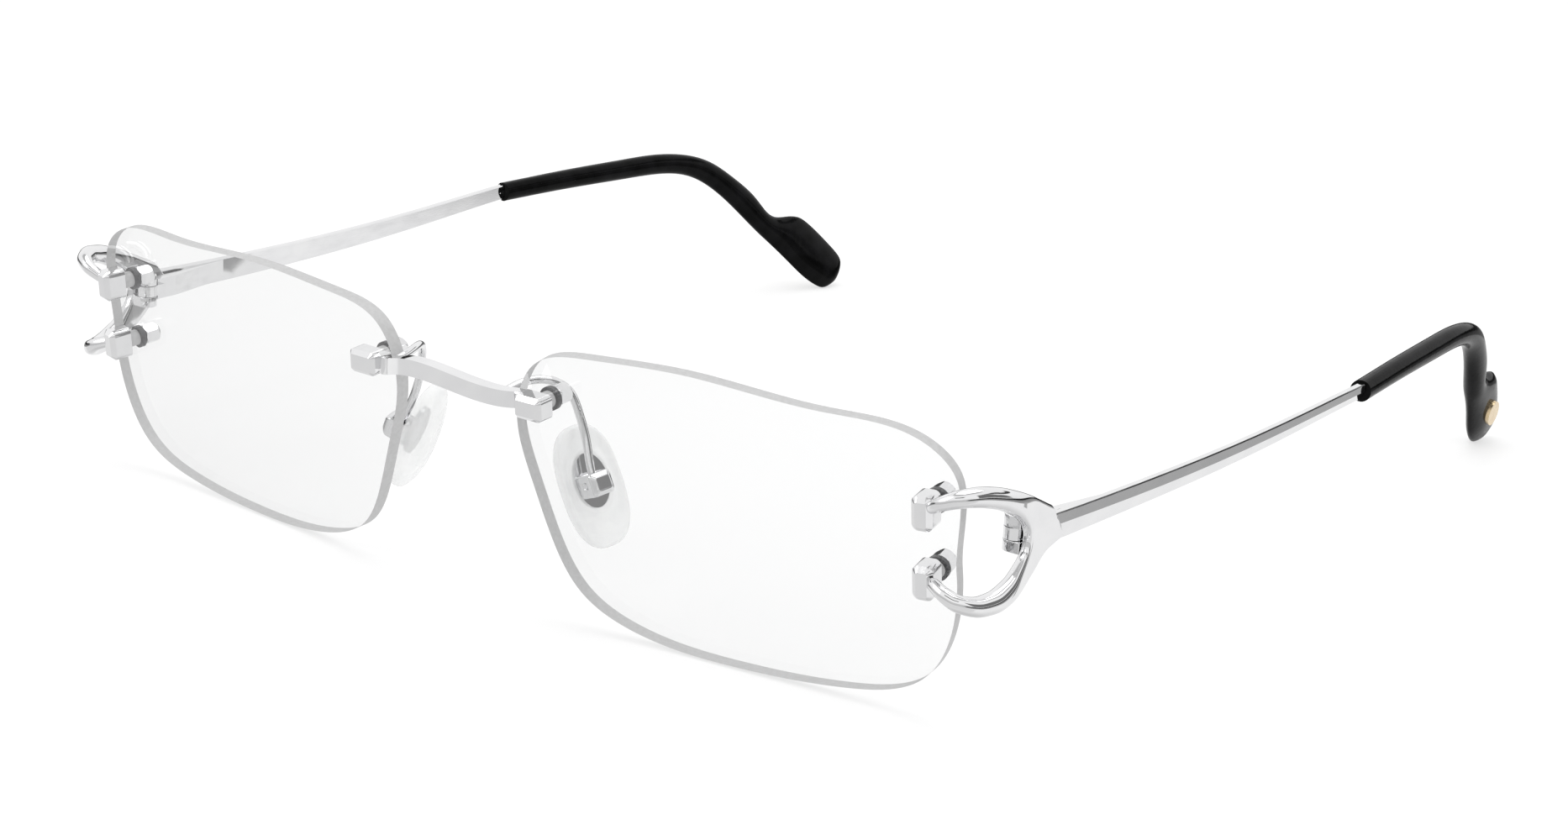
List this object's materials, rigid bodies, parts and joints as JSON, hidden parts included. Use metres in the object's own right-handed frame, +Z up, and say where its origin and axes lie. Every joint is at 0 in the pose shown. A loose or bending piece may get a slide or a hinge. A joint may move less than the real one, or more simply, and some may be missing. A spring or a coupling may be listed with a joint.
{
  "type": "rimless eyeglasses",
  "caption": "Rimless eyeglasses: clear rectangular lenses clamped to a metal bridge and forked end pieces, with folding metal temples, black ear tips and rocking clear nose pads.",
  "frame": {"origin": "middle of the footprint on the surface the open glasses stand on", "axes": "+X to the wearer's left, +Y back along the temples, +Z up"},
  "size_m": [0.141, 0.1598, 0.0338],
  "materials": {
    "lens": "polished clear lens",
    "polished_metal": "mirror polished plated metal",
    "clear_plastic": "clear moulded plastic",
    "dark_plastic": "dark moulded plastic",
    "silicone": "clear soft silicone",
    "black_acetate": "polished black acetate",
    "gilt_metal": "polished pale gold"
  },
  "bodies": {
    "front": {"bridge": "polished_metal", "lens_left": "lens", "lens_right": "lens", "lens_posts_left": "polished_metal", "lens_posts_right": "polished_metal", "lens_bushings_left": "clear_plastic", "lens_bushings_right": "clear_plastic", "lens_washers_left": "dark_plastic", "lens_washers_right": "dark_plastic", "cap_nuts_left": "polished_metal", "cap_nuts_right": "polished_metal", "pad_arm_left": "polished_metal", "pad_arm_right": "polished_metal", "side_blocks_left": "polished_metal", "side_blocks_right": "polished_metal", "yoke_left": "polished_metal", "yoke_right": "polished_metal", "hinge_knuckles_left": "polished_metal", "hinge_knuckles_right": "polished_metal", "hinge_screw_left": "polished_metal", "hinge_screw_right": "polished_metal"},
    "nose_pad_unit_left": {"nose_pad_left": "silicone", "pad_plate_left": "polished_metal", "pad_box_left": "polished_metal", "pad_pin_left": "polished_metal"},
    "nose_pad_unit_right": {"nose_pad_right": "silicone", "pad_plate_right": "polished_metal", "pad_box_right": "polished_metal", "pad_pin_right": "polished_metal"},
    "temple_arm_left": {"temple_left": "polished_metal", "ear_tip_left": "black_acetate", "tip_inlay_left": "gilt_metal"},
    "temple_arm_right": {"temple_right": "polished_metal", "ear_tip_right": "black_acetate", "tip_inlay_right": "gilt_metal"}
  },
  "joints": [
    {"name": "temple_fold_left", "type": "hinge", "parent": "front", "child": "temple_arm_left", "pos_m": [0.06645, -0.05875, 0.0211], "axis": [0, 0, 1], "range_deg": [0, 85]},
    {"name": "temple_fold_right", "type": "hinge", "parent": "front", "child": "temple_arm_right", "pos_m": [-0.06645, -0.05875, 0.0211], "axis": [0, 0, -1], "range_deg": [0, 61]},
    {"name": "pad_rock_left", "type": "hinge", "parent": "front", "child": "nose_pad_unit_left", "pos_m": [0.015, -0.06585, 0.01585], "axis": [0.234, 0.9581, 0.1651], "range_deg": [-8, 8]},
    {"name": "pad_rock_right", "type": "hinge", "parent": "front", "child": "nose_pad_unit_right", "pos_m": [-0.015, -0.06585, 0.01585], "axis": [0.234, -0.9581, -0.1651], "range_deg": [-8, 8]}
  ]
}
